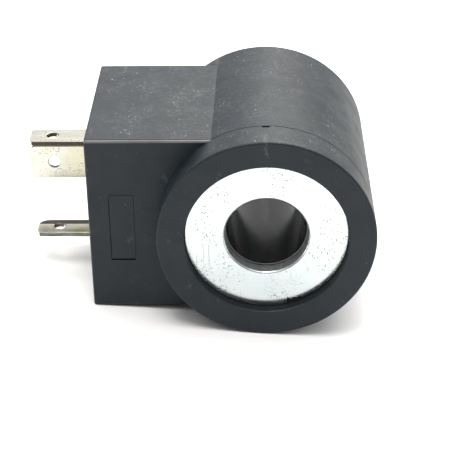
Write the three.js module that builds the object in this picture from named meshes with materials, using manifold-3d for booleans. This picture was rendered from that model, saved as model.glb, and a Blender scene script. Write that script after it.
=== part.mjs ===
// Encapsulated coil of a solenoid valve, with a DIN type A plug-in connector.
// Millimetres, +Z up. The bore runs along Y, its front end faces -Y, and the connector block
// points to -X. The coil lies on its round side, and the origin is under the middle of its box.
import * as THREE from 'three';
import { mergeVertices } from 'three/addons/utils/BufferGeometryUtils.js';
import Module from 'manifold-3d';

const wasm = await Module();
wasm.setup();

// ---- Driving dimensions. The design frame has the bore axis at X = Z = 0, front end at Y = 0.
const ROUND = 72; // facets round the coil
const FIT = 0.05; // gap between pieces that sit against each other
const OVER = 1; // how far a cutting shape runs past the face it opens

const coil = { radius: 18, length: 39 };
const bore = { radius: 6.65 };
const recess = { radius: 13.5, depth: 1.8 };
const plate = { radius: 15.5, hole: 6.9, thickness: 2.3, chamfer: 0.25, face: 13.4, rebate: 0.1 };
const yoke = { outer: 15.5, wall: 1.6, seam: 0.6, windowHalf: 8, windowDepth: 8.2 };
const bobbin = { wall: 1.05, flange: 13.4, flangeThickness: 1.2, notch: 1.3, notchFrom: 8.3 };
const tape = { outer: 12.85, thickness: 0.2 };

const block = { front: 5.6, back: 35.5, reach: 29.6, top: 15.6, bottom: 15.85 };
const rearEnd = { reach: 29.5, top: 15.85 }; // the block's size at its back face
const wall = 2.5; // plastic round the connector chamber
const chamberEnd = 12; // the chamber opens into the round cavity at this distance from the bore axis
const panel = { width: 4, height: 12, proud: 0.12, fromPad: 3.65, drop: 0.35 };

const blade = { thickness: 0.8, cornerCut: 0.9, slotGap: 0.15 };
const contactSpacing = 18; // between the two power contacts
const earthOffset = 8.6; // from the line of the power contacts to the earth contact
const power = { width: 4.8, tip: -40.6, hole: 1, holeInset: 3.85 };
const tail = { shoulder: 7, shoulderDepth: 1.4, width: 2.6, end: -18.4 }; // inner end of a power blade
const earth = { width: 6.3, tip: -42.5, hole: 1.05, holeInset: 4.35, footLength: 6 };
const rivet = { shank: 1, head: 1.75, headThickness: 0.7, hole: 1.05 };

const carrier = { outer: -27.05, inner: -22.5, halfHeight: 12.6, front: 9.5, back: 32.2 };
const insert = { outer: 2.2, thread: 1.25, start: -29, end: -22.4, seat: 2.25 };
const groove = { radius: 1.9, from: 0.4, to: 0.6, slope: 0.05 }; // fractions of the insert's length

const lead = { radius: 0.25, offset: 3, steps: 28, sleeveInner: 0.4, sleeveOuter: 0.65 };
Object.assign(lead, { sleeveFrom: 0.42, sleeveTo: 0.86, sleeveSteps: 12 }); // fractions of its length
const solder = { x: -19.6, radius: 1.1, leadHole: 0.32 };

const middle = 20.4; // Y of the connector's centre
const earthY = middle + earthOffset;
const powerZ = contactSpacing / 2;
const plateBack = recess.depth + plate.thickness; // inner face of the front pole plate
const coreFront = plateBack + FIT;
const coreBack = coil.length - plateBack - FIT;
const yokeInner = yoke.outer - yoke.wall;

// ---- Solids: closed three.js geometry in, joined or cut geometry out.
function solid(geometry) {
  const bare = geometry.clone();
  for (const name of ['normal', 'uv']) bare.deleteAttribute(name);
  const merged = mergeVertices(bare, 1e-5);
  const points = merged.attributes.position;
  const index = merged.index.array;
  const corners = [];
  for (let i = 0; i < index.length; i += 3) {
    const [a, b, c] = [index[i], index[i + 1], index[i + 2]];
    if (a !== b && b !== c && c !== a) corners.push(a, b, c);
  }
  if (signedVolume(points, corners) < 0) corners.reverse();
  const mesh = new wasm.Mesh({
    numProp: 3,
    vertProperties: new Float32Array(points.array),
    triVerts: new Uint32Array(corners),
  });
  return new wasm.Manifold(mesh);
}

function signedVolume(points, corners) {
  const [a, b, c] = [new THREE.Vector3(), new THREE.Vector3(), new THREE.Vector3()];
  let sum = 0;
  for (let i = 0; i < corners.length; i += 3) {
    a.fromBufferAttribute(points, corners[i]);
    b.fromBufferAttribute(points, corners[i + 1]);
    c.fromBufferAttribute(points, corners[i + 2]);
    sum += a.dot(b.cross(c));
  }
  return sum;
}

function geometryOf(manifold) {
  const mesh = manifold.getMesh();
  const geometry = new THREE.BufferGeometry();
  geometry.setAttribute('position', new THREE.BufferAttribute(mesh.vertProperties, 3));
  geometry.setIndex(new THREE.BufferAttribute(mesh.triVerts, 1));
  return geometry;
}

const cut = (body, ...tools) => tools.reduce((left, tool) => left.subtract(tool), body);
const join = (first, ...others) => others.reduce((sum, other) => sum.add(other), first);

// A box given by its two X, Y and Z limits.
function box([x0, x1], [y0, y1], [z0, z1]) {
  const geometry = new THREE.BoxGeometry(x1 - x0, y1 - y0, z1 - z0);
  return solid(geometry.translate((x0 + x1) / 2, (y0 + y1) / 2, (z0 + z1) / 2));
}

// A closed [radius, y] outline turned round the bore axis.
function turned(outline, facets = ROUND) {
  const points = [...outline, outline[0]].map(([r, y]) => new THREE.Vector2(r, y));
  return solid(new THREE.LatheGeometry(points, facets));
}

const tube = (inner, outer, y0, y1) => turned([[inner, y0], [outer, y0], [outer, y1], [inner, y1]]);

// A solid drum on the bore axis.
function drum(radius, y0, y1) {
  const geometry = new THREE.CylinderGeometry(radius, radius, y1 - y0, ROUND);
  return solid(geometry.translate(0, (y0 + y1) / 2, 0));
}

// A round bar along X, centred on y and z.
function barAlongX(radius, [x0, x1], y, z, facets = 32) {
  const geometry = new THREE.CylinderGeometry(radius, radius, x1 - x0, facets);
  return solid(geometry.rotateZ(Math.PI / 2).translate((x0 + x1) / 2, y, z));
}

// ---- Housing: one moulding round everything, open at both plates, the bore and the pad's slots.
function housing() {
  const skin = join(drum(coil.radius, 0, coil.length), connectorBlock(), ratingPanel());
  const chamber = box(
    [-block.reach + wall, -chamberEnd],
    [block.front + wall, block.back - wall],
    [-block.bottom + wall, block.top - wall],
  );
  const padWall = [-block.reach - OVER, -block.reach + wall + OVER];
  return cut(
    skin,
    drum(recess.radius, -OVER, coil.length + OVER),
    drum(yoke.outer + FIT, recess.depth - FIT, coil.length - recess.depth + FIT),
    chamber,
    ...bladeSlots(padWall),
    barAlongX(insert.seat, padWall, middle, 0),
  );
}

// The pad leans back a little and the block grows taller towards its back face.
function connectorBlock() {
  const geometry = new THREE.BoxGeometry(block.reach, block.back - block.front, block.top + block.bottom);
  const centre = [-block.reach / 2, (block.front + block.back) / 2, (block.top - block.bottom) / 2];
  geometry.translate(...centre);
  const points = geometry.attributes.position;
  for (let i = 0; i < points.count; i += 1) {
    if (points.getY(i) < middle) continue;
    if (points.getZ(i) > 0) points.setZ(i, rearEnd.top);
    if (points.getX(i) < -coil.radius) points.setX(i, -rearEnd.reach);
  }
  return solid(geometry);
}

// The blank raised panel on the block's front face.
function ratingPanel() {
  const x0 = -block.reach + panel.fromPad;
  return box(
    [x0, x0 + panel.width],
    [block.front - panel.proud, block.front + OVER],
    [-panel.drop - panel.height / 2, -panel.drop + panel.height / 2],
  );
}

// The three slots that the blades pass through, between two X limits.
function bladeSlots(xLimits) {
  const half = blade.thickness / 2 + blade.slotGap;
  const powerHalf = power.width / 2 + blade.slotGap;
  const earthHalf = earth.width / 2 + blade.slotGap;
  const powerSlot = (z) => box(xLimits, [middle - powerHalf, middle + powerHalf], [z - half, z + half]);
  const earthSlot = box(xLimits, [earthY - half, earthY + half], [-earthHalf, earthHalf]);
  return [powerSlot(powerZ), powerSlot(-powerZ), earthSlot];
}

// ---- Magnetic circuit: two steel plates and the rolled tube between them.
// The moulding's recess leaves a plate's face open, and its rebated edge lies behind the moulding.
function polePlate(outerFace, direction) {
  const inner = outerFace + direction * plate.thickness;
  const chamferEnd = outerFace + direction * plate.chamfer;
  const edge = outerFace + direction * plate.rebate;
  return turned([
    [plate.hole + plate.chamfer, outerFace],
    [plate.face, outerFace],
    [plate.face, edge],
    [plate.radius, edge],
    [plate.radius, inner],
    [plate.hole, inner],
    [plate.hole, chamferEnd],
  ]);
}

function yokeTube() {
  const ring = tube(yokeInner, yoke.outer, coreFront, coreBack);
  const seam = box([0, coil.radius], [0, coil.length], [-yoke.seam / 2, yoke.seam / 2]);
  const leadWindow = box(
    [-coil.radius, 0],
    [0, coreFront + yoke.windowDepth],
    [-yoke.windowHalf, yoke.windowHalf],
  );
  const rivetHole = barAlongX(rivet.hole, [-coil.radius, -yokeInner + OVER], rivetY(), 0);
  return cut(ring, seam, leadWindow, rivetHole);
}

// ---- Wound core: bobbin, copper winding and its tape.
const flangeFront = coreFront + bobbin.flangeThickness;
const flangeBack = coreBack - bobbin.flangeThickness;
const leadY = (coreFront + flangeFront) / 2;

function bobbinBody() {
  const hub = bore.radius + bobbin.wall;
  const spool = turned([
    [bore.radius, coreFront],
    [bobbin.flange, coreFront],
    [bobbin.flange, flangeFront],
    [hub, flangeFront],
    [hub, flangeBack],
    [bobbin.flange, flangeBack],
    [bobbin.flange, coreBack],
    [bore.radius, coreBack],
  ]);
  const notch = (z) => box(
    [-coil.radius, -bobbin.notchFrom],
    [coreFront - OVER, flangeFront + OVER],
    [z - bobbin.notch / 2, z + bobbin.notch / 2],
  );
  return cut(spool, notch(lead.offset), notch(-lead.offset));
}

function copperWinding() {
  const inner = bore.radius + bobbin.wall + FIT;
  const outer = tape.outer - tape.thickness - FIT;
  return tube(inner, outer, flangeFront + FIT, flangeBack - FIT);
}

const tapeWrap = () => tube(tape.outer - tape.thickness, tape.outer, flangeFront + FIT, flangeBack - FIT);

// ---- Blades: stamped tabs with cut corners and a hole, drawn along X.
function tabOutline(tip, width, corner) {
  return [
    [tip + corner, width / 2],
    [tip, width / 2 - corner],
    [tip, -width / 2 + corner],
    [tip + corner, -width / 2],
  ];
}

function stamped(outline, hole) {
  const shape = new THREE.Shape(outline.map(([x, y]) => new THREE.Vector2(x, y)));
  shape.holes.push(new THREE.Path().absarc(hole.x, 0, hole.radius, 0, 2 * Math.PI, true));
  const geometry = new THREE.ExtrudeGeometry(shape, {
    depth: blade.thickness,
    bevelEnabled: false,
    curveSegments: 12,
  });
  return geometry.translate(0, 0, -blade.thickness / 2);
}

// A power blade lies flat, with shoulders behind the carrier and a narrow tail for its lead.
function powerBlade(z) {
  const shoulder = carrier.inner + FIT;
  const shoulderEnd = shoulder + tail.shoulderDepth;
  const outline = [
    ...tabOutline(power.tip, power.width, blade.cornerCut),
    [shoulder, -power.width / 2],
    [shoulder, -tail.shoulder / 2],
    [shoulderEnd, -tail.shoulder / 2],
    [shoulderEnd, -tail.width / 2],
    [tail.end, -tail.width / 2],
    [tail.end, tail.width / 2],
    [shoulderEnd, tail.width / 2],
    [shoulderEnd, tail.shoulder / 2],
    [shoulder, tail.shoulder / 2],
    [shoulder, power.width / 2],
  ];
  const hole = { x: power.tip + power.holeInset, radius: power.hole };
  return solid(stamped(outline, hole).translate(0, middle, z));
}

// The earth blade stands on edge and ends in a foot that lies against the yoke.
const footOuter = -yoke.outer - FIT;

function rivetY() {
  return earthY - earth.footLength / 2 - blade.thickness / 2;
}

function earthBlade() {
  const outline = [
    ...tabOutline(earth.tip, earth.width, blade.cornerCut),
    [footOuter, -earth.width / 2],
    [footOuter, earth.width / 2],
  ];
  const hole = { x: earth.tip + earth.holeInset, radius: earth.hole };
  const tab = solid(stamped(outline, hole).rotateX(Math.PI / 2).translate(0, earthY, 0));
  const foot = box(
    [footOuter - blade.thickness, footOuter],
    [earthY - earth.footLength, earthY],
    [-earth.width / 2, earth.width / 2],
  );
  const throughFoot = [footOuter - blade.thickness - OVER, footOuter + OVER];
  return cut(join(tab, foot), barAlongX(rivet.hole, throughFoot, rivetY(), 0));
}

function earthRivet() {
  const headInner = footOuter - blade.thickness - FIT;
  return join(
    barAlongX(rivet.head, [headInner - rivet.headThickness, headInner], rivetY(), 0),
    barAlongX(rivet.shank, [headInner - rivet.headThickness / 2, -yokeInner - FIT], rivetY(), 0),
  );
}

// ---- Terminal carrier and the threaded insert for the plug's centre screw.
function terminalCarrier() {
  const { outer, inner, halfHeight, front, back } = carrier;
  return cut(
    box([outer, inner], [front, back], [-halfHeight, halfHeight]),
    ...bladeSlots([outer - OVER, inner + OVER]),
    barAlongX(insert.seat, [outer - OVER, inner + OVER], middle, 0),
  );
}

function connectorInsert() {
  const { start, end, outer, thread } = insert;
  const at = (fraction) => start + (end - start) * fraction;
  const outline = [
    [thread, start],
    [outer, start],
    [outer, at(groove.from)],
    [groove.radius, at(groove.from + groove.slope)],
    [groove.radius, at(groove.to - groove.slope)],
    [outer, at(groove.to)],
    [outer, end],
    [thread, end],
  ];
  const points = [...outline, outline[0]].map(([r, y]) => new THREE.Vector2(r, y));
  return solid(new THREE.LatheGeometry(points, 24).rotateZ(-Math.PI / 2).translate(0, middle, 0));
}

// ---- Leads: from a notch in the front flange, out through the yoke's window, to a blade's tail.
function leadRoute(side) {
  const tailFace = side * (powerZ - blade.thickness / 2 - lead.radius - FIT);
  return new THREE.CatmullRomCurve3([
    new THREE.Vector3(-bobbin.notchFrom - 0.4, leadY, side * lead.offset),
    new THREE.Vector3(-12.4, leadY, side * lead.offset),
    new THREE.Vector3(-14.3, leadY + 1.4, side * lead.offset),
    new THREE.Vector3(-14.9, 9.2, side * (lead.offset + 0.4)),
    new THREE.Vector3(-17.4, 11.4, side * (lead.offset + 2)),
    new THREE.Vector3(-19, 15.2, side * (Math.abs(tailFace) - 0.9)),
    new THREE.Vector3(solder.x, 18.4, tailFace),
    new THREE.Vector3(solder.x, middle + 0.4, tailFace),
  ]);
}

// Part of a route, from one fraction of its length to another.
class Stretch extends THREE.Curve {
  constructor(route, from, to) {
    super();
    this.route = route;
    this.from = from;
    this.to = to;
  }

  getPoint(t, target = new THREE.Vector3()) {
    return this.route.getPointAt(THREE.MathUtils.lerp(this.from, this.to, t), target);
  }
}

function wireAlong(route, radius, steps, innerRadius = 0) {
  const section = new THREE.Shape().absarc(0, 0, radius, 0, 2 * Math.PI);
  if (innerRadius > 0) {
    section.holes.push(new THREE.Path().absarc(0, 0, innerRadius, 0, 2 * Math.PI, true));
  }
  return solid(new THREE.ExtrudeGeometry(section, { extrudePath: route, steps, curveSegments: 4 }));
}

const leadWire = (side) => wireAlong(leadRoute(side), lead.radius, lead.steps);

function leadSleeve(side) {
  const covered = new Stretch(leadRoute(side), lead.sleeveFrom, lead.sleeveTo);
  return wireAlong(covered, lead.sleeveOuter, lead.sleeveSteps, lead.sleeveInner);
}

// A dome of solder on the tail's inner face, with the end of the lead in it.
function solderJoint(side) {
  const face = powerZ - blade.thickness / 2 - FIT;
  const reach = 2 * solder.radius;
  const sphere = new THREE.SphereGeometry(solder.radius, 20, 12);
  const ball = solid(sphere.translate(solder.x, middle, side * face));
  const innerSide = box(
    [solder.x - reach, solder.x + reach],
    [middle - reach, middle + reach],
    side > 0 ? [face - reach, face] : [-face, -face + reach],
  );
  return cut(ball.intersect(innerSide), wireAlong(leadRoute(side), solder.leadHole, lead.steps));
}

// ---- Finishes and the assembly.
function finish(color, roughness, metalness) {
  return new THREE.MeshStandardMaterial({ color, roughness, metalness });
}

const finishes = {
  overmould: finish(0x3a3d42, 0.5, 0),
  zincSteel: finish(0xdfe3e2, 0.3, 0.9),
  rolledSteel: finish(0x8d8f91, 0.45, 0.9),
  bobbinNylon: finish(0x2e3136, 0.5, 0),
  enamelledCopper: finish(0xa8522c, 0.35, 0.8),
  insulatingTape: finish(0xc9a94a, 0.5, 0),
  carrierNylon: finish(0x4a4d50, 0.55, 0),
  tinnedBrass: finish(0xdedac4, 0.3, 0.9),
  brass: finish(0xb8934a, 0.35, 0.9),
  sleeveFibre: finish(0xe6e0d0, 0.7, 0),
  solderAlloy: finish(0xb9bcbd, 0.3, 0.9),
};

// The design frame is moved so that the origin lies under the middle of the part's box.
const assembly = new THREE.Group();
assembly.position.set(-(coil.radius + earth.tip) / 2, -coil.length / 2, coil.radius);

function addPiece(name, body, material) {
  const mesh = new THREE.Mesh(geometryOf(body), material);
  mesh.name = name;
  assembly.add(mesh);
}

addPiece('housing', housing(), finishes.overmould);
addPiece('front_pole_plate', polePlate(recess.depth, 1), finishes.zincSteel);
addPiece('rear_pole_plate', polePlate(coil.length - recess.depth, -1), finishes.zincSteel);
addPiece('yoke_tube', yokeTube(), finishes.rolledSteel);
addPiece('bobbin', bobbinBody(), finishes.bobbinNylon);
addPiece('winding', copperWinding(), finishes.enamelledCopper);
addPiece('winding_tape', tapeWrap(), finishes.insulatingTape);
addPiece('terminal_carrier', terminalCarrier(), finishes.carrierNylon);
addPiece('power_blade_upper', powerBlade(powerZ), finishes.tinnedBrass);
addPiece('power_blade_lower', powerBlade(-powerZ), finishes.tinnedBrass);
addPiece('earth_blade', earthBlade(), finishes.tinnedBrass);
addPiece('earth_rivet', earthRivet(), finishes.zincSteel);
addPiece('connector_insert', connectorInsert(), finishes.brass);
for (const [end, side] of [['finish', 1], ['start', -1]]) {
  addPiece(`${end}_lead`, leadWire(side), finishes.enamelledCopper);
  addPiece(`${end}_lead_sleeve`, leadSleeve(side), finishes.sleeveFibre);
  addPiece(`${end}_solder_joint`, solderJoint(side), finishes.solderAlloy);
}

const model = new THREE.Group();
model.add(assembly);
export default model;
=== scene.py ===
import math

import bmesh
import bpy
from mathutils import Matrix, Vector


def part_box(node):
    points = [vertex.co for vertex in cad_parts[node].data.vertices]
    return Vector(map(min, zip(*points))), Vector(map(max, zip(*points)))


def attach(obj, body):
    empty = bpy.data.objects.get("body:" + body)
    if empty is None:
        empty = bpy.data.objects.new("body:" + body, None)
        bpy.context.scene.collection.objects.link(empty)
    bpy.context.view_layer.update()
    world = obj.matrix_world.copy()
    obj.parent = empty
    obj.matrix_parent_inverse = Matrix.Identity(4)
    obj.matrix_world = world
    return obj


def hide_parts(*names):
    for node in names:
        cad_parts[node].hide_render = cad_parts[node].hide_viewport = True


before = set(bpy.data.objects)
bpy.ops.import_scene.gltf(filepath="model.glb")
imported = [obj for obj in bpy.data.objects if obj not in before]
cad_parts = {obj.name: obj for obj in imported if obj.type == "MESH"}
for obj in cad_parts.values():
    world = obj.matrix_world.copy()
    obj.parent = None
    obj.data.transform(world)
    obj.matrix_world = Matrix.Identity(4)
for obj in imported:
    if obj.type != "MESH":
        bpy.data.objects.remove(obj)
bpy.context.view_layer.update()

MM = 0.001
OVER = 1.0  # how far a cutting shape runs past the face it opens

# ---- Driving dimensions, in millimetres.
plate_low, plate_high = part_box("front_pole_plate")
housing_low, housing_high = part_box("housing")
BORE_AXIS = (plate_low + plate_high) / 2
TO_ROW = Matrix.Translation((BORE_AXIS.x, housing_low.y, BORE_AXIS.z)) @ Matrix.Scale(MM, 4)

COIL_RADIUS = (housing_high.x - BORE_AXIS.x) / MM
COIL_LENGTH = (housing_high.y - housing_low.y) / MM
PLATE_RADIUS = (plate_high.x - BORE_AXIS.x) / MM
PLATE_FACE = (plate_low.y - housing_low.y) / MM
PLATE_THICKNESS = (plate_high.y - plate_low.y) / MM
PLATE_HOLE = 6.9
PLATE_OPEN_RADIUS, PLATE_REBATE = 13.4, 0.1  # the plate's edge lies a little lower, behind the moulding
RECESS_RADIUS = 13.5
FIT = 0.05  # gap between the moulding and a plate
ROUND = 192  # steps in a full turn

BLOCK_FRONT, BLOCK_BACK = 5.6, 35.5
BLOCK_REACH = (BORE_AXIS.x - housing_low.x) / MM
PAD_DRAFT = 0.1  # how far the pad's rear edge stands back from its front edge
BLOCK_TOP, BLOCK_BACK_TOP, BLOCK_BOTTOM = 15.6, 15.85, 15.85
WALL = 2.5  # thickness of the moulding round the block's inner room
MIDDLE = 20.4  # Y of the connector's centre
BLOCK_END = -4  # X of the block's end inside the drum
BLOCK_FILLET, REAR_FILLET = 0.4, 0.15
RING_FILLET = 0.35
PARTING = BLOCK_FRONT + 0.42  # plane where the two halves of the mould meet
PARTING_GROOVE = 0.09
PANEL_LEFT, PANEL_LOW, PANEL_WIDTH, PANEL_HEIGHT = -25.95, -6.35, 4, 12

BLADE_THICKNESS = 0.8
POWER_Z = 9.0
POWER_WIDTH, EARTH_WIDTH = 4.8, 6.3
POWER_HOLE, EARTH_HOLE = 1.0, 1.05  # radius
BLADE_ROUND = 0.13
EARTH_Y = MIDDLE + 8.6
INSERT_SEAT = 2.25
BORE_RADIUS, BOBBIN_WALL = 6.65, 1.05


# ---- Shapes.
def box(low, high):
    """A box between two corners."""
    bm = bmesh.new()
    bmesh.ops.create_cube(bm, size=1)
    low, high = Vector(low), Vector(high)
    bmesh.ops.scale(bm, vec=high - low, verts=bm.verts)
    bmesh.ops.translate(bm, vec=(low + high) / 2, verts=bm.verts)
    return bm


def flat_outline(points, corners=(), segments=6):
    """A flat face in the XY plane, with the given corners rounded or cut: (index, size)."""
    bm = bmesh.new()
    verts = [bm.verts.new((x, y, 0)) for x, y in points]
    bm.faces.new(verts)
    for index, size in corners:
        bmesh.ops.bevel(
            bm, geom=[verts[index]], offset=size, offset_type="OFFSET", affect="VERTICES",
            segments=segments, profile=0.5, material=-1, clamp_overlap=True,
        )
    return bm


def lathe(points, corners=(), steps=ROUND, segments=6):
    """A closed outline of (radius, y) points turned round the bore axis."""
    bm = flat_outline(points, corners, segments)
    bmesh.ops.delete(bm, geom=bm.faces[:], context="FACES_ONLY")
    bmesh.ops.spin(
        bm, geom=bm.verts[:] + bm.edges[:], cent=(0, 0, 0), axis=(0, 1, 0), dvec=(0, 0, 0),
        angle=math.tau, steps=steps, use_merge=True, use_duplicate=False,
    )
    return closed(bm)


def along_x(bm, x, y, z):
    """Turns a shape lathed about Y so that it points along X, and moves it to a place."""
    bmesh.ops.rotate(bm, cent=(0, 0, 0), matrix=Matrix.Rotation(-math.pi / 2, 3, "Z"), verts=bm.verts)
    bmesh.ops.translate(bm, vec=(x, y, z), verts=bm.verts)
    return bm


def closed(bm):
    """Merges doubled points and turns every face outwards."""
    bmesh.ops.remove_doubles(bm, verts=bm.verts, dist=1e-4)
    bmesh.ops.recalc_face_normals(bm, faces=bm.faces)
    return bm


def thickened(bm, depth):
    """Extrudes a flat outline by depth along Z."""
    made = bmesh.ops.extrude_face_region(bm, geom=bm.faces[:], use_keep_orig=True)
    moved = [item for item in made["geom"] if isinstance(item, bmesh.types.BMVert)]
    bmesh.ops.translate(bm, vec=(0, 0, depth), verts=moved)
    return closed(bm)


def round_edges(bm, size, chosen=None, segments=3):
    """Rounds the sharp edges, or those of them that a test chooses."""
    edges = [e for e in bm.edges if e.is_manifold and e.calc_face_angle() > math.radians(25)]
    bmesh.ops.bevel(
        bm, geom=[e for e in edges if chosen is None or chosen(e)], offset=size, offset_type="OFFSET",
        affect="EDGES", segments=segments, profile=0.5, material=-1, clamp_overlap=True,
    )
    return bm


def combined(body, tool, operation):
    """Joins two closed shapes, or cuts one with the other, and returns the new shape."""
    working = []
    for shape in (body, tool):
        mesh = bpy.data.meshes.new("working")
        shape.to_mesh(mesh)
        shape.free()
        working.append(bpy.data.objects.new("working", mesh))
        bpy.context.scene.collection.objects.link(working[-1])
    modifier = working[0].modifiers.new("combine", "BOOLEAN")
    modifier.object = working[1]
    modifier.operation = operation
    modifier.solver = "EXACT"
    graph = bpy.context.evaluated_depsgraph_get()
    result = bmesh.new()
    result.from_mesh(working[0].evaluated_get(graph).to_mesh())
    for item in working:
        mesh = item.data
        bpy.data.objects.remove(item)
        bpy.data.meshes.remove(mesh)
    return closed(result)


def cut(body, *tools):
    for tool in tools:
        body = combined(body, tool, "DIFFERENCE")
    return body


def join(body, *others):
    for other in others:
        body = combined(body, other, "UNION")
    return body


def finish_faces(bm, index, test):
    """Gives the piece's material with that index to the faces that pass a test."""
    for face in closed(bm).faces:
        if test(face):
            face.material_index = index


def add_piece(name, bm, materials, slot, *nodes, sharp=32):
    """Moves a shape to the row frame and makes it a piece that stands for CAD nodes."""
    closed(bm)
    bmesh.ops.transform(bm, matrix=TO_ROW, verts=bm.verts)
    mesh = bpy.data.meshes.new(name)
    bm.to_mesh(mesh)
    bm.free()
    mesh.shade_smooth()
    mesh.set_sharp_from_angle(angle=math.radians(sharp))
    piece = bpy.data.objects.new(name, mesh)
    bpy.context.scene.collection.objects.link(piece)
    for material in materials:
        mesh.materials.append(material)
    weighted = piece.modifiers.new("even shading", "WEIGHTED_NORMAL")
    weighted.keep_sharp = True
    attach(piece, "root")
    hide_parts(*nodes)
    return piece


# ---- Materials: a small set of node helpers, then one function for each finish.
class Finish:
    """A Principled material that reads Object coordinates."""

    def __init__(self, name, **constants):
        self.material = bpy.data.materials.new(name)
        self.material.use_nodes = True
        self.nodes = self.material.node_tree.nodes
        self.links = self.material.node_tree.links
        self.shader = self.nodes["Principled BSDF"]
        for socket, value in constants.items():
            self.shader.inputs[socket.replace("_", " ")].default_value = value
        self.place = self.nodes.new("ShaderNodeTexCoord").outputs["Object"]

    def node(self, kind, inputs=None, **settings):
        made = self.nodes.new("ShaderNode" + kind)
        for name, value in settings.items():
            setattr(made, name, value)
        for name, value in (inputs or {}).items():
            if isinstance(value, bpy.types.NodeSocket):
                self.links.new(value, made.inputs[name])
            else:
                made.inputs[name].default_value = value
        return made

    def stretched(self, x, y, z):
        """Object coordinates scaled unevenly, for marks that run one way."""
        return self.node("Mapping", {"Vector": self.place, "Scale": (x, y, z)}).outputs["Vector"]

    def noise(self, scale, detail=2.0, roughness=0.5, vector=None):
        inputs = {"Vector": vector or self.place, "Scale": scale, "Detail": detail, "Roughness": roughness}
        return self.node("TexNoise", inputs).outputs["Fac"]

    def ramp(self, value, low, high, start=0.0, end=1.0):
        """Maps value from the range low to high into start to end, and holds it there."""
        inputs = {"Value": value, "From Min": low, "From Max": high, "To Min": start, "To Max": end}
        return self.node("MapRange", inputs).outputs["Result"]

    def math(self, operation, first, second=0.0):
        return self.node("Math", {0: first, 1: second}, operation=operation).outputs["Value"]

    def blend(self, share, first, second):
        made = self.node("Mix", data_type="RGBA")
        for index, value in ((0, share), (6, first), (7, second)):
            if isinstance(value, bpy.types.NodeSocket):
                self.links.new(value, made.inputs[index])
            else:
                made.inputs[index].default_value = value
        return made.outputs[2]

    def specks(self, scale, size, kept):
        """1 in small round spots: size is their share of a cell, kept the share of cells with one."""
        cells = self.node("TexVoronoi", {"Vector": self.place, "Scale": scale}, feature="F1")
        chance = self.node("SeparateColor", {"Color": cells.outputs["Color"]}).outputs["Red"]
        spot = self.ramp(cells.outputs["Distance"], size * 0.6, size, 1.0, 0.0)
        return self.math("MULTIPLY", spot, self.math("GREATER_THAN", chance, 1.0 - kept))

    def facing_up(self):
        """0 to 1 as the surface turns from level to looking up."""
        normal = self.node("NewGeometry").outputs["Normal"]
        return self.ramp(self.node("SeparateXYZ", {"Vector": normal}).outputs["Z"], 0.35, 0.8)

    def set(self, socket, value):
        self.links.new(value, self.shader.inputs[socket])

    def bump(self, height, strength, distance):
        """Distance is in millimetres. A second call lies on top of the first."""
        inputs = {"Height": height, "Strength": strength, "Distance": distance * MM}
        made = self.node("Bump", inputs)
        under = self.shader.inputs["Normal"].links
        if under:
            self.links.new(under[0].from_socket, made.inputs["Normal"])
        self.set("Normal", made.outputs["Normal"])


def grey(value, warm=0.0):
    return (value * (1 + warm), value, value * (1 - warm), 1.0)


def moulded_nylon(name, shade=0.009, dusty=True, rough=(0.44, 0.56), warm=-0.55):
    """Black glass-filled nylon with a fine spark texture, faint flow marks and a little dust."""
    f = Finish(name, Roughness=0.5, IOR=1.42, Specular_Tint=(0.98, 1.0, 0.99, 1.0))
    clouds = f.noise(90, 4, 0.6)
    base = f.blend(f.ramp(clouds, 0.35, 0.65), grey(shade * 0.8, warm), grey(shade * 1.25, warm))
    scuffs = f.ramp(f.noise(420, 3, 0.6, f.stretched(1, 0.16, 0.5)), 0.66, 0.76, 0, 0.35)
    base = f.blend(scuffs, base, grey(0.11))
    if dusty:
        upward = f.facing_up()
        fine, coarse = f.specks(1500, 0.13, 0.35), f.specks(480, 0.07, 0.3)
        drifts = f.ramp(f.noise(170, 3, 0.6), 0.4, 0.62, 0.12, 1)
        dust = f.math("MULTIPLY", f.math("MAXIMUM", fine, coarse), f.ramp(upward, 0, 1, 0.12, 1))
        haze = f.math("MULTIPLY", f.ramp(f.noise(1700, 4, 0.7), 0.48, 0.66, 0, 0.055), upward)
        base = f.blend(f.math("MULTIPLY", haze, drifts), base, grey(0.7, 0.06))
        base = f.blend(f.math("MULTIPLY", dust, drifts), base, grey(0.6, 0.03))
    f.set("Base Color", base)
    f.set("Roughness", f.ramp(f.noise(260, 4, 0.65), 0.3, 0.7, *rough))
    f.bump(f.noise(5200, 3, 0.6), 0.3, 0.03)
    f.bump(f.noise(700, 3, 0.6), 0.12, 0.05)
    return f.material


def punched_wall(name):
    """The dull, torn wall of a punched hole, thinly plated."""
    f = Finish(name, Metallic=1.0)
    tears = f.noise(1500, 4, 0.7, f.stretched(1, 0.2, 1))
    f.set("Base Color", f.blend(f.ramp(tears, 0.35, 0.65), (0.34, 0.36, 0.37, 1), (0.5, 0.52, 0.52, 1)))
    f.set("Roughness", f.ramp(tears, 0.3, 0.7, 0.5, 0.68))
    f.bump(tears, 0.4, 0.03)
    return f.material


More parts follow.
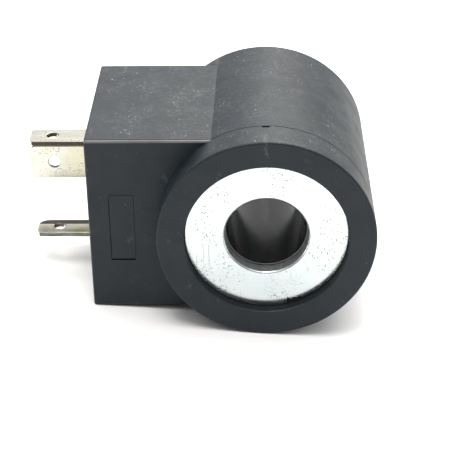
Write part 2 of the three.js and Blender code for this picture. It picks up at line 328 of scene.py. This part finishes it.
def zinc_plate(name):
    """Bright zinc plating, pitted in patches and scratched by handling."""
    f = Finish(name, Metallic=1.0)
    tint = f.blend(f.ramp(f.noise(110, 3), 0.4, 0.62), (0.68, 0.745, 0.76, 1), (0.7, 0.755, 0.75, 1))
    patches = f.ramp(f.noise(150, 3, 0.6), 0.45, 0.6)
    pits = f.math("MULTIPLY", f.ramp(f.noise(3600, 2, 0.6), 0.58, 0.66), patches)
    spots = f.specks(1150, 0.15, 0.24)
    rubs = f.ramp(f.noise(1900, 2, 0.5, f.stretched(1.5, 1, 0.07)), 0.6, 0.68)
    rubs = f.math("MULTIPLY", rubs, f.ramp(f.noise(110, 2), 0.52, 0.62, 0, 0.4))
    dark = f.math("MAXIMUM", f.math("MULTIPLY", f.math("MAXIMUM", pits, spots), 0.88), rubs)
    f.set("Base Color", f.blend(dark, tint, (0.1, 0.1, 0.1, 1)))
    streaks = f.ramp(f.noise(900, 4, 0.7, f.stretched(0.12, 1, 2.2)), 0.56, 0.7)
    f.set("Roughness", f.ramp(f.math("ADD", streaks, f.noise(300, 3)), 0.3, 1.4, 0.16, 0.34))
    f.bump(dark, 0.4, 0.02)
    f.bump(streaks, 0.12, 0.01)
    f.bump(f.noise(240, 3, 0.5), 0.1, 0.04)
    return f.material


def tinned(name):
    """Tin plating on stamped brass: cream where it is thin, with rolled streaks and fork marks."""
    f = Finish(name, Metallic=1.0)
    streaks = f.noise(700, 3, 0.6, f.stretched(0.08, 1.4, 1.4))
    thin = f.ramp(f.noise(260, 3, 0.6), 0.42, 0.62)
    base = f.blend(thin, (0.64, 0.63, 0.58, 1), (0.62, 0.59, 0.46, 1))
    marks = f.math("MULTIPLY", f.ramp(f.noise(2300, 3, 0.7), 0.55, 0.63), f.ramp(f.noise(330, 2), 0.46, 0.6))
    f.set("Base Color", f.blend(f.math("MULTIPLY", marks, 0.85), base, (0.22, 0.21, 0.17, 1)))
    f.set("Roughness", f.ramp(streaks, 0.35, 0.65, 0.14, 0.26))
    f.bump(streaks, 0.15, 0.02)
    f.bump(marks, 0.4, 0.02)
    return f.material


def dark_edge_tin(name):
    """Darker, greyer tin for a blade's edges; on the rounded edges it is a painted dark reflection."""
    f = Finish(name, Metallic=1.0)
    # The noise varies the tone within the painted dark edge.
    rubs = f.noise(1600, 3, 0.7, f.stretched(0.2, 1, 1))
    f.set("Base Color", f.blend(f.ramp(rubs, 0.35, 0.65), (0.08, 0.08, 0.072, 1), (0.24, 0.24, 0.215, 1)))
    f.set("Roughness", f.ramp(rubs, 0.3, 0.7, 0.3, 0.45))
    f.bump(rubs, 0.3, 0.02)
    return f.material


def sheared_edge(name):
    """Bare sheared metal, tarnished brown, with fine tear lines across its thickness."""
    f = Finish(name, Metallic=0.85)
    tears = f.noise(1800, 3, 0.7, f.stretched(1.6, 1, 0.25))
    tarnish = f.blend(f.ramp(tears, 0.35, 0.65), (0.036, 0.031, 0.024, 1), (0.1, 0.083, 0.066, 1))
    f.set("Base Color", tarnish)
    f.set("Roughness", f.ramp(tears, 0.3, 0.7, 0.42, 0.6))
    f.bump(tears, 0.5, 0.04)
    return f.material


def rolled_steel(name):
    """Strip steel with rolling lines along its length and an oily, uneven sheen."""
    f = Finish(name, Metallic=1.0)
    lines = f.noise(900, 4, 0.6, f.stretched(1, 0.05, 1))
    blue = f.ramp(f.noise(70, 3), 0.45, 0.65)
    f.set("Base Color", f.blend(blue, (0.42, 0.42, 0.42, 1), (0.3, 0.31, 0.34, 1)))
    f.set("Roughness", f.ramp(lines, 0.3, 0.7, 0.28, 0.46))
    f.bump(lines, 0.2, 0.02)
    return f.material


def machined_brass(name):
    """Bright turned brass with fine tool marks and a little staining."""
    f = Finish(name, Metallic=1.0)
    turning = f.noise(3000, 2, 0.5, f.stretched(1, 0.1, 0.1))
    stain = f.ramp(f.noise(400, 3), 0.4, 0.65)
    f.set("Base Color", f.blend(stain, (0.76, 0.55, 0.24, 1), (0.6, 0.42, 0.19, 1)))
    f.set("Roughness", f.ramp(turning, 0.3, 0.7, 0.2, 0.36))
    f.bump(turning, 0.2, 0.02)
    return f.material


def enamelled_copper(name, wound):
    """Enamelled wire. Wound turns show as fine ridges across the bore axis."""
    f = Finish(name, Metallic=1.0, Coat_Weight=0.6, Coat_Roughness=0.12)
    tone = f.noise(380, 3)
    f.set("Base Color", f.blend(f.ramp(tone, 0.35, 0.65), (0.5, 0.17, 0.07, 1), (0.66, 0.27, 0.12, 1)))
    f.set("Roughness", f.ramp(tone, 0.3, 0.7, 0.24, 0.38))
    if wound:
        inputs = {"Vector": f.place, "Scale": 320.0, "Distortion": 0.4, "Detail": 1.0}
        turns = f.node("TexWave", inputs, wave_type="BANDS", bands_direction="Y", wave_profile="SIN")
        f.bump(turns.outputs["Fac"], 0.8, 0.12)
    return f.material


def polyester_tape(name):
    """Glossy amber tape, a little see-through, with creases along the bore axis."""
    f = Finish(name, IOR=1.55, Transmission_Weight=0.15, Coat_Weight=0.5, Coat_Roughness=0.2)
    tone = f.noise(160, 3)
    f.set("Base Color", f.blend(f.ramp(tone, 0.3, 0.7), (0.62, 0.4, 0.06, 1), (0.75, 0.52, 0.12, 1)))
    f.set("Roughness", f.ramp(f.noise(800, 3), 0.3, 0.7, 0.25, 0.4))
    f.bump(f.noise(300, 3, 0.6, f.stretched(1, 0.2, 1)), 0.4, 0.08)
    return f.material


def woven_sleeve(name):
    """Woven glass fibre: two crossed sets of strands."""
    f = Finish(name, Sheen_Weight=0.3, IOR=1.45)
    inputs = {"Vector": f.place, "Scale": 900.0, "Distortion": 0.6, "Detail": 1.0}
    strands = [f.node("TexWave", inputs, wave_type="BANDS", bands_direction=way) for way in ("DIAGONAL", "Y")]
    weave = f.math("MULTIPLY", *(strand.outputs["Fac"] for strand in strands))
    f.set("Base Color", f.blend(weave, (0.55, 0.5, 0.4, 1), (0.82, 0.78, 0.68, 1)))
    f.set("Roughness", f.ramp(weave, 0, 1, 0.75, 0.6))
    f.bump(weave, 0.6, 0.08)
    return f.material


def solder(name):
    """Bright solder with frosted patches."""
    f = Finish(name, Metallic=1.0)
    frost = f.noise(1500, 4, 0.7)
    f.set("Base Color", f.blend(f.ramp(frost, 0.4, 0.7), (0.72, 0.73, 0.74, 1), (0.5, 0.51, 0.52, 1)))
    f.set("Roughness", f.ramp(frost, 0.35, 0.7, 0.18, 0.42))
    f.bump(frost, 0.3, 0.03)
    return f.material


BLACK_NYLON = moulded_nylon("satin_black_nylon")
# A lighter, glossier nylon laid on rounded edges as a painted highlight.
EDGE_HIGHLIGHT_NYLON = moulded_nylon("painted_highlight_edge_nylon", 0.12, dusty=False, rough=(0.3, 0.4), warm=0.0)
# A rougher nylon, painted darker as painted shade in the recesses and the parting groove.
RECESS_SHADE_NYLON = moulded_nylon("rough_nylon_painted_shade", 0.004, dusty=False, rough=(0.72, 0.9))
BOBBIN_NYLON = moulded_nylon("bobbin_black_nylon", 0.003, dusty=False, rough=(0.1, 0.17))
CARRIER_NYLON = moulded_nylon("carrier_grey_nylon", 0.08, dusty=False, warm=-0.1)
ZINC = zinc_plate("bright_zinc_plating")
PUNCHED_WALL = punched_wall("punched_hole_wall")
TIN = tinned("tinned_brass")
DARK_EDGE_TIN = dark_edge_tin("painted_dark_edge_tin")
SHEARED = sheared_edge("sheared_bare_edge")
STEEL = rolled_steel("rolled_strip_steel")
BRASS = machined_brass("machined_brass")
WOUND_COPPER = enamelled_copper("wound_enamelled_copper", wound=True)
LEAD_COPPER = enamelled_copper("enamelled_lead", wound=False)
TAPE = polyester_tape("amber_polyester_tape")
FIBRE = woven_sleeve("woven_glass_sleeve")
SOLDER = solder("frosted_solder")


# ---- Camera.
CAMERA_AT = Vector((-1.77, -195.94, 115.38))  # design frame, millimetres
AZIMUTH, ELEVATION, ROLL = (math.radians(angle) for angle in (1.4515, 29.787, -0.8243))
FIELD_OF_VIEW = math.radians(18.288)


def add_camera():
    forward = Vector((-math.sin(AZIMUTH) * math.cos(ELEVATION), math.cos(AZIMUTH) * math.cos(ELEVATION),
                      -math.sin(ELEVATION)))
    level_right = Vector((math.cos(AZIMUTH), math.sin(AZIMUTH), 0))
    level_up = level_right.cross(forward)
    right = math.cos(ROLL) * level_right + math.sin(ROLL) * level_up
    up = right.cross(forward)
    data = bpy.data.cameras.new("camera")
    data.angle = FIELD_OF_VIEW
    data.clip_start = 0.01
    camera = bpy.data.objects.new("camera", data)
    turn = Matrix((right, up, -forward)).transposed().to_4x4()
    camera.matrix_world = Matrix.Translation(TO_ROW @ CAMERA_AT) @ turn
    bpy.context.scene.collection.objects.link(camera)
    bpy.context.scene.camera = camera


# ---- Housing.
def solid_drum():
    """The moulding's round body, with the parting groove round it."""
    outline = [
        (0, 0), (COIL_RADIUS, 0),
        (COIL_RADIUS, PARTING - PARTING_GROOVE),
        (COIL_RADIUS - PARTING_GROOVE, PARTING),
        (COIL_RADIUS, PARTING + PARTING_GROOVE),
        (COIL_RADIUS, COIL_LENGTH), (0, COIL_LENGTH),
    ]
    return lathe(outline, corners=[(1, RING_FILLET), (5, REAR_FILLET)])


def connector_block():
    """The block with rounded edges, its pad leaning back as moulding draft."""
    bm = box((-BLOCK_REACH, BLOCK_FRONT, -BLOCK_BOTTOM), (BLOCK_END, BLOCK_BACK, BLOCK_TOP))
    for vert in bm.verts:
        if vert.co.y > MIDDLE:
            vert.co.z = max(vert.co.z, math.copysign(BLOCK_BACK_TOP, vert.co.z))
            if vert.co.x < -BLOCK_REACH + 1:
                vert.co.x += PAD_DRAFT
    seen = lambda edge: any(vert.co.x < BLOCK_END - 1 for vert in edge.verts)
    rear = lambda edge: all(vert.co.y > BLOCK_BACK - 0.01 for vert in edge.verts)
    round_edges(bm, BLOCK_FILLET, lambda edge: seen(edge) and not rear(edge), segments=5)
    round_edges(bm, REAR_FILLET, lambda edge: seen(edge) and rear(edge), segments=4)
    for offset in (-PARTING_GROOVE, 0, PARTING_GROOVE):
        geometry = bm.verts[:] + bm.edges[:] + bm.faces[:]
        plane = (0, PARTING + offset, 0)
        bmesh.ops.bisect_plane(bm, geom=geometry, dist=1e-5, plane_co=plane, plane_no=(0, 1, 0))
    line = [vert for vert in bm.verts if abs(vert.co.y - PARTING) < 1e-3]
    shrink = Vector((1 - PARTING_GROOVE / BLOCK_REACH, 1, 1 - PARTING_GROOVE / BLOCK_TOP))
    bmesh.ops.scale(bm, vec=shrink, verts=line)
    return closed(bm)


def core_cavity():
    """The round space inside the moulding and its two open recesses, as a cutter."""
    lip, end = 0.12, COIL_LENGTH
    mouth = RECESS_RADIUS + lip
    ledge, seat = PLATE_FACE - FIT, PLATE_RADIUS + FIT
    outline = [
        (0, -OVER), (mouth, -OVER), (mouth, 0), (RECESS_RADIUS, lip), (RECESS_RADIUS, ledge),
        (seat, ledge), (seat, end - ledge),
        (RECESS_RADIUS, end - ledge), (RECESS_RADIUS, end - lip), (mouth, end), (mouth, end + OVER),
        (0, end + OVER),
    ]
    return lathe(outline, corners=[(3, 0.06), (8, 0.06)], segments=4)


def blank_panel():
    """The raised blank panel on the block's front face, and the groove along its left and lower edges."""
    raised, left_gap, lower_gap, groove_depth = 0.12, 0.16, 0.44, 0.25
    low = Vector((PANEL_LEFT, BLOCK_FRONT - raised, PANEL_LOW))
    high = Vector((PANEL_LEFT + PANEL_WIDTH, BLOCK_FRONT + 1, PANEL_LOW + PANEL_HEIGHT))
    panel = round_edges(box(low, high), 0.08, segments=2)
    far = Vector((high.x - 0.1, BLOCK_FRONT + groove_depth, high.z - 0.4))
    groove = box(low - Vector((left_gap, OVER, lower_gap)), far)
    return panel, groove


def blade_slots(clearance=0.03):
    """Cutters for the places where the blades leave the pad."""
    half = BLADE_THICKNESS / 2 + clearance
    x0, x1 = -BLOCK_REACH - OVER, -BLOCK_REACH + WALL + OVER
    power, earth = POWER_WIDTH / 2 + clearance, EARTH_WIDTH / 2 + clearance
    upright = box((x0, EARTH_Y - half, -earth), (x1, EARTH_Y + half, earth))
    flat = [box((x0, MIDDLE - power, z - half), (x1, MIDDLE + power, z + half)) for z in (POWER_Z, -POWER_Z)]
    return [upright, *flat]


def insert_seat():
    """Cutter for the hole that the threaded insert shows through, with a small countersink."""
    outline = [(0, -OVER), (INSERT_SEAT + 0.25, -OVER), (INSERT_SEAT + 0.25, 0.15), (INSERT_SEAT, 0.35),
               (INSERT_SEAT, WALL + OVER), (0, WALL + OVER)]
    return along_x(lathe(outline, steps=64), -BLOCK_REACH + PAD_DRAFT / 2, MIDDLE, 0)


def on_painted_highlight_edge(point):
    """True on the block's rounded upper front edge, which gets a lighter nylon as a painted highlight."""
    edge = 0.01
    front = BLOCK_FRONT + edge < point.y < BLOCK_FRONT + BLOCK_FILLET - edge
    return front and point.z > BLOCK_TOP - BLOCK_FILLET


def in_shade(point):
    """True on the walls of the two open recesses, short of their rims, and inside the parting groove, which
    get a rougher nylon painted darker as painted shade.
    """
    rim, film_reach = 0.2, 12
    reach = math.hypot(point.x, point.z)
    depth = min(point.y, COIL_LENGTH - point.y)
    recess = rim < depth < PLATE_FACE and film_reach < reach < RECESS_RADIUS + 0.05
    return recess or abs(point.y - PARTING) < PARTING_GROOVE


def flash():
    """A thin ragged film of plastic that crept over the front plate's edge, widest at the lower right."""
    bm = bmesh.new()
    steps, film, widest, narrowest, root = 480, 0.1, 1.15, 0.06, RECESS_RADIUS + 0.1
    start = math.radians(286.5)  # the film widens at once here and fades away past it
    rise, fade = 0.02, 0.2  # radians
    inner, outer = [], []
    for step in range(steps):
        angle = math.tau * step / steps
        past = angle - start
        swell = math.exp(-past / fade) if past > 0 else math.exp(-(past / rise) ** 2)
        rag = 0.72 + 0.16 * math.sin(37 * angle) + 0.12 * math.sin(83 * angle + 1)
        reach = PLATE_OPEN_RADIUS - 0.02 - widest * swell * rag - narrowest * rag
        inner.append(bm.verts.new((reach * math.cos(angle), PLATE_FACE, reach * math.sin(angle))))
        outer.append(bm.verts.new((root * math.cos(angle), PLATE_FACE, root * math.sin(angle))))
    for step in range(steps):
        after = (step + 1) % steps
        bm.faces.new((inner[step], inner[after], outer[after], outer[step]))
    made = bmesh.ops.extrude_face_region(bm, geom=bm.faces[:], use_keep_orig=True)
    moved = [item for item in made["geom"] if isinstance(item, bmesh.types.BMVert)]
    bmesh.ops.translate(bm, vec=(0, -film, 0), verts=moved)
    return closed(bm)


def lead_chamber():
    """The room inside the block for the leads, open to the core, as a cutter."""
    low = (-BLOCK_REACH + WALL, BLOCK_FRONT + WALL, -BLOCK_BOTTOM + WALL)
    return box(low, (-12, BLOCK_BACK - WALL, BLOCK_TOP - WALL))


def gate_mark():
    """The small notch that the mould's gate left on top of the drum, at the parting line, as a cutter."""
    low, high = (-0.76, PARTING - 0.55, COIL_RADIUS - 0.35), (0.5, PARTING, COIL_RADIUS + OVER)
    return round_edges(box(low, high), 0.1)


def make_housing():
    """The black moulding round the whole coil, in one piece."""
    body = join(solid_drum(), connector_block())
    panel, groove = blank_panel()
    gate = gate_mark()
    body = cut(body, core_cavity(), lead_chamber(), *blade_slots(), insert_seat(), groove, gate)
    body = join(body, panel, flash())
    # Painted highlight: the block's upper front fillet gets the lighter nylon.
    finish_faces(body, 1, lambda face: on_painted_highlight_edge(face.calc_center_median()))
    # Painted shade: the recess walls and the parting groove get the darker, rougher nylon.
    finish_faces(body, 2, lambda face: in_shade(face.calc_center_median()))
    materials = [BLACK_NYLON, EDGE_HIGHLIGHT_NYLON, RECESS_SHADE_NYLON]
    add_piece("housing_moulding", body, materials, "overmould", "housing", sharp=25)


# ---- Pole plates.
def is_punched(face):
    """True on the hole's wall and on the dark line outside its chamfer."""
    point = face.calc_center_median()
    reach = math.hypot(point.x, point.z)
    return reach < PLATE_HOLE + 0.01 or (reach < PLATE_HOLE + 0.5 and 0.75 < abs(face.normal.y) < 0.98)


def make_pole_plate(name, outer_face, direction, node):
    """A punched steel plate with rounded edges and a chamfer round its hole."""
    inner = outer_face + direction * PLATE_THICKNESS
    chamfer = 0.25
    rebate = outer_face + PLATE_REBATE * direction
    outline = [
        (PLATE_HOLE + chamfer, outer_face), (PLATE_OPEN_RADIUS, outer_face), (PLATE_OPEN_RADIUS, rebate),
        (PLATE_RADIUS, rebate), (PLATE_RADIUS, inner), (PLATE_HOLE, inner),
        (PLATE_HOLE, outer_face + chamfer * direction),
    ]
    corners = [(0, 0.12), (1, 0.04), (3, 0.2), (4, 0.2), (5, 0.1), (6, 0.06)]
    bm = lathe(outline, corners, segments=3)
    finish_faces(bm, 1, is_punched)
    add_piece(name, bm, [ZINC, PUNCHED_WALL], "zinc_steel", node)


# ---- Bobbin.
def make_bobbin():
    """A spool with two flanges, a mould line along its bore and two notches for the leads."""
    low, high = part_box("bobbin")
    front, back = ((corner.y - housing_low.y) / MM for corner in (low, high))
    flange = (high.x - BORE_AXIS.x) / MM
    bore, hub, thick = BORE_RADIUS, BORE_RADIUS + BOBBIN_WALL, 1.2
    outline = [
        (bore, front), (flange, front), (flange, front + thick), (hub, front + thick),
        (hub, back - thick), (flange, back - thick), (flange, back), (bore, back),
    ]
    corners = [(0, 0.22), (1, 0.2), (2, 0.2), (3, 0.3), (4, 0.3), (5, 0.2), (6, 0.2), (7, 0.22)]
    bm = lathe(outline, corners, segments=3)
    seam = 0.05  # height of the mould line at the top and bottom of the bore
    for vert in bm.verts:
        reach = math.hypot(vert.co.x, vert.co.z)
        if reach < bore + 0.01 and abs(vert.co.x) < 0.01:
            vert.co.z *= (reach - seam) / reach
    half_notch, notch_end = 0.65, -8.3
    bm = cut(bm, *(
        box((-COIL_RADIUS, front - OVER, z - half_notch), (notch_end, front + thick + OVER, z + half_notch))
        for z in (3, -3)
    ))

    def on_rim(face):
        """True on the rounded front edge of the bore, which gets the lighter nylon as a painted highlight."""
        point = face.calc_center_median()
        return math.hypot(point.x, point.z) < bore + 0.2 and front + 0.01 < point.y < front + 0.15

    # Painted highlight along the bore's front rim.
    finish_faces(bm, 1, on_rim)
    add_piece("bobbin_moulding", bm, [BOBBIN_NYLON, EDGE_HIGHLIGHT_NYLON], "bobbin_nylon", "bobbin")


# ---- Blades.
def blade_hole(radius, x):
    """Cutter for a blade's hole, flared a little at both faces, standing along Z."""
    half, flare = BLADE_THICKNESS / 2, 0.08
    outline = [(0, -OVER), (radius + flare, -OVER), (radius + flare, -half), (radius, -half + flare),
               (radius, half - flare), (radius + flare, half), (radius + flare, OVER), (0, OVER)]
    bm = lathe(outline, steps=48)
    bmesh.ops.rotate(bm, cent=(0, 0, 0), matrix=Matrix.Rotation(math.pi / 2, 3, "X"), verts=bm.verts)
    bmesh.ops.translate(bm, vec=(x, 0, 0), verts=bm.verts)
    return bm


def coining_tool(face, edge, half, width, depth, x_limits):
    """Cutter for a slope along a blade's long edge: face is +1 for the top, edge +1 for the far side."""
    normal = Vector((0, edge * depth, face * width)).normalized()
    tool = box((x_limits[0], -3, 0), (x_limits[1], 3, 2))
    turn = Matrix((Vector((1, 0, 0)), normal.cross(Vector((1, 0, 0))), normal)).transposed()
    bmesh.ops.rotate(tool, cent=(0, 0, 0), matrix=turn, verts=tool.verts)
    start = Vector((0, edge * (half - width), face * BLADE_THICKNESS / 2))
    bmesh.ops.translate(tool, vec=start, verts=tool.verts)
    return tool


def on_outline(normal):
    """True on the rounded edges of a flat blade, which lies in the XY plane."""
    return 0.15 < abs(normal.z) < 0.95


def make_power_blade(name, side, node, far_cut, coins, bare, dull):
    """One flat power blade. Each coin is (face, edge, width, depth) of a slope pressed along an edge."""
    low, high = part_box(node)
    tip, tail = ((corner.x - BORE_AXIS.x) / MM for corner in (low, high))
    half, half_tail, half_shoulder = POWER_WIDTH / 2, 1.3, 3.5
    shoulder, shoulder_end = -22.45, -21.05
    outline = [
        (tip, -half), (shoulder, -half), (shoulder, -half_shoulder), (shoulder_end, -half_shoulder),
        (shoulder_end, -half_tail), (tail, -half_tail), (tail, half_tail), (shoulder_end, half_tail),
        (shoulder_end, half_shoulder), (shoulder, half_shoulder), (shoulder, half), (tip, half),
    ]
    bm = thickened(flat_outline(outline, [(0, 1.0), (11, far_cut)], segments=5), BLADE_THICKNESS)
    bmesh.ops.translate(bm, vec=(0, 0, -BLADE_THICKNESS / 2), verts=bm.verts)
    tools = [coining_tool(*coin[:2], half, *coin[2:], (tip - OVER, -BLOCK_REACH + 1)) for coin in coins]
    bm = cut(bm, blade_hole(POWER_HOLE, tip + 3.85), *tools)
    round_edges(bm, BLADE_ROUND, segments=2)
    # The rounded edges, and the faces that dull chooses, get the darker tin as painted dark reflection.
    finish_faces(bm, 2, lambda face: on_outline(face.normal) or dull(face.normal))
    finish_faces(bm, 1, lambda face: bare(face.normal))
    bmesh.ops.translate(bm, vec=(0, MIDDLE, side * POWER_Z), verts=bm.verts)
    add_piece(name, bm, [TIN, SHEARED, DARK_EDGE_TIN], "tinned_brass", node)


def make_earth_blade():
    """The upright earth blade, bent at its inner end into a foot that lies against the yoke."""
    low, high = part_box("earth_blade")
    tip, foot = ((corner.x - BORE_AXIS.x) / MM for corner in (low, high))
    foot_length = (high.y - low.y) / MM - BLADE_THICKNESS
    half = EARTH_WIDTH / 2
    outline = [(tip, -half), (foot, -half), (foot, half), (tip, half)]
    bm = thickened(flat_outline(outline, [(0, 1.05), (3, 1.05)], segments=5), BLADE_THICKNESS)
    bmesh.ops.translate(bm, vec=(0, 0, -BLADE_THICKNESS / 2), verts=bm.verts)
    geometry = bm.verts[:] + bm.edges[:] + bm.faces[:]
    bend = (foot - BLADE_THICKNESS, 0, 0)
    bmesh.ops.bisect_plane(bm, geom=geometry, dist=1e-5, plane_co=bend, plane_no=(1, 0, 0))
    strip = [face for face in bm.faces if face.normal.z > 0.9 and face.calc_center_median().x > bend[0]]
    made = bmesh.ops.extrude_face_region(bm, geom=strip)
    moved = [item for item in made["geom"] if isinstance(item, bmesh.types.BMVert)]
    bmesh.ops.translate(bm, vec=(0, 0, foot_length), verts=moved)
    bmesh.ops.delete(bm, geom=[face for face in strip if face.is_valid], context="FACES_ONLY")
    rivet_hole = along_x(lathe([(0, -3), (1.05, -3), (1.05, 3), (0, 3)], steps=32), 0, 0, 0)
    rivet_height = BLADE_THICKNESS / 2 + foot_length / 2 + 0.1
    bmesh.ops.translate(rivet_hole, vec=(foot, 0, rivet_height), verts=rivet_hole.verts)
    bm = cut(bm, blade_hole(EARTH_HOLE, tip + 4.35), rivet_hole)
    round_edges(bm, BLADE_ROUND, segments=2)
    # The rounded edges get the darker tin as painted dark reflection.
    finish_faces(bm, 2, lambda face: on_outline(face.normal))
    finish_faces(bm, 1, lambda face: abs(face.normal.y) > 0.8)
    bmesh.ops.rotate(bm, cent=(0, 0, 0), matrix=Matrix.Rotation(math.pi / 2, 3, "X"), verts=bm.verts)
    bmesh.ops.translate(bm, vec=(0, EARTH_Y, 0), verts=bm.verts)
    add_piece("earth_tab", bm, [TIN, SHEARED, DARK_EDGE_TIN], "tinned_brass", "earth_blade")


# ---- Screw insert and the pieces inside.
def make_insert():
    """Brass screw insert: two fluted bands with a groove between them, and a thread inside."""
    low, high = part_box("connector_insert")
    start, end = ((corner.x - BORE_AXIS.x) / MM for corner in (low, high))
    length = end - start
    outer, waist, crest, root, pitch, lead_in = 2.2, 1.9, 1.25, 1.5, 0.5, 0.3
    outline = [
        (root + 0.1, 0), (outer - 0.15, 0), (outer, 0.15), (outer, 0.4 * length), (waist, 0.45 * length),
        (waist, 0.55 * length), (outer, 0.6 * length), (outer, length - 0.15), (outer - 0.15, length),
        (root + 0.1, length),
    ]
    turns = int((length - 2 * lead_in) / pitch)
    for turn in range(turns):
        y = length - lead_in - turn * pitch
        outline += [(crest, y), (crest, y - 0.1 * pitch), (root, y - 0.5 * pitch), (root, y - 0.6 * pitch)]
    bm = lathe(outline, steps=72)
    flutes, depth = 24, 0.07
    for vert in bm.verts:
        reach = math.hypot(vert.co.x, vert.co.z)
        if reach > outer - 0.01:
            angle = math.atan2(vert.co.z, vert.co.x)
            shrink = 1 - depth * (0.5 - 0.5 * math.cos(flutes * angle)) / reach
            vert.co.x *= shrink
            vert.co.z *= shrink
    add_piece("screw_insert", along_x(bm, start, MIDDLE, 0), [BRASS], "brass", "connector_insert", sharp=25)


def dress_inner_nodes():
    """The pieces that the moulding hides keep their CAD shape and get their own finish."""
    finishes = {
        "yoke_tube": STEEL, "winding": WOUND_COPPER, "winding_tape": TAPE, "terminal_carrier": CARRIER_NYLON,
        "earth_rivet": ZINC, "finish_lead": LEAD_COPPER, "start_lead": LEAD_COPPER,
        "finish_lead_sleeve": FIBRE, "start_lead_sleeve": FIBRE,
        "finish_solder_joint": SOLDER, "start_solder_joint": SOLDER,
    }
    for node, material in finishes.items():
        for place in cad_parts[node].material_slots:
            place.material = material


# ---- Floor and light.
BACK_SKY, FRONT_SKY, TOP_SKY = 1.12, 0.2, 1.4  # brightness behind the part, in front of it and overhead


def resting_slope():
    """Slope along X of a surface that the drum and the block's lower edge both lie on."""
    # A line through the edge at (-reach, -half) that is one drum radius from the bore axis.
    reach, half, radius = BLOCK_REACH - BLOCK_FILLET, BLOCK_BOTTOM, COIL_RADIUS
    a, b, c = reach**2 - radius**2, -2 * reach * half, half**2 - radius**2
    return (-b - math.sqrt(b * b - 4 * a * c)) / (2 * a)


def add_floor():
    """The coil lies rolled on to its block, so the floor slopes a little in the row frame."""
    bm = bmesh.new()
    bmesh.ops.create_grid(bm, x_segments=4, y_segments=4, size=1.5)
    angle = math.atan(resting_slope())
    bmesh.ops.rotate(bm, cent=(0, 0, 0), matrix=Matrix.Rotation(-angle, 3, "Y"), verts=bm.verts)
    touch = TO_ROW @ Vector((COIL_RADIUS * math.sin(angle), COIL_LENGTH / 2, -COIL_RADIUS * math.cos(angle)))
    bmesh.ops.translate(bm, vec=touch, verts=bm.verts)
    mesh = bpy.data.meshes.new("floor")
    bm.to_mesh(mesh)
    bm.free()
    floor = bpy.data.objects.new("floor", mesh)
    bpy.context.scene.collection.objects.link(floor)
    paper = Finish("pale_floor", Roughness=0.7)
    paper.set("Base Color", paper.blend(paper.noise(30, 2), grey(0.86), grey(0.88)))
    mesh.materials.append(paper.material)


def add_softbox(name, at, size, power):
    """A large square lamp aimed at the part."""
    data = bpy.data.lights.new(name, "AREA")
    data.shape = "SQUARE"
    data.size = size
    data.energy = power
    data.color = (1.0, 0.975, 0.94)
    lamp = bpy.data.objects.new(name, data)
    lamp.location = at
    target = Vector((0, 0, 0.018))
    lamp.rotation_euler = (target - Vector(at)).to_track_quat("-Z", "Y").to_euler()
    bpy.context.scene.collection.objects.link(lamp)


def add_light():
    world = bpy.data.worlds.new("studio")
    bpy.context.scene.world = world
    world.use_nodes = True
    nodes, links = world.node_tree.nodes, world.node_tree.links
    direction = nodes.new("ShaderNodeSeparateXYZ")
    links.new(nodes.new("ShaderNodeTexCoord").outputs["Generated"], direction.inputs[0])

    def fade(value, low, high, start, end):
        """Brightness that goes smoothly from start to end as value goes from low to high."""
        made = nodes.new("ShaderNodeMapRange")
        made.interpolation_type = "SMOOTHSTEP"
        links.new(value, made.inputs["Value"])
        for socket, amount in {"From Min": low, "From Max": high}.items():
            made.inputs[socket].default_value = amount
        for socket, amount in {"To Min": start, "To Max": end}.items():
            if isinstance(amount, bpy.types.NodeSocket):
                links.new(amount, made.inputs[socket])
            else:
                made.inputs[socket].default_value = amount
        return made.outputs["Result"]

    # The room is dim low down towards -Y, and bright behind and overhead.
    low_front = fade(direction.outputs["Y"], -0.1, -0.55, BACK_SKY, FRONT_SKY)
    sky = fade(direction.outputs["Z"], 0.55, 0.85, low_front, TOP_SKY)
    links.new(sky, nodes["Background"].inputs["Strength"])
    nodes["Background"].inputs["Color"].default_value = (1, 1, 1, 1)
    add_softbox("softbox_behind", (0.14, 0.46, 0.6), 0.42, 5.0)
    add_softbox("softbox_above", (-0.03, -0.15, 0.7), 0.3, 3.0)
    bpy.context.scene.view_settings.view_transform = "Standard"


add_camera()
make_housing()
make_pole_plate("front_plate", PLATE_FACE, 1, "front_pole_plate")
make_pole_plate("rear_plate", COIL_LENGTH - PLATE_FACE, -1, "rear_pole_plate")
make_bobbin()
make_power_blade(
    "upper_power_blade", 1, "power_blade_upper", 0.9,
    coins=[(1, -1, 2.2, 0.08), (-1, 1, 0.5, 0.1)],
    bare=lambda normal: normal.y < -0.8,
    dull=lambda normal: False,
)
make_power_blade(
    "lower_power_blade", -1, "power_blade_lower", 1.8,
    coins=[(1, 1, 1.7, 0.12), (1, -1, 0.5, 0.06)],
    bare=lambda normal: 0.03 < normal.y < 0.5 and normal.z > 0.8,
    dull=lambda normal: normal.y < -0.8,
)
make_earth_blade()
make_insert()
dress_inner_nodes()
add_floor()
add_light()
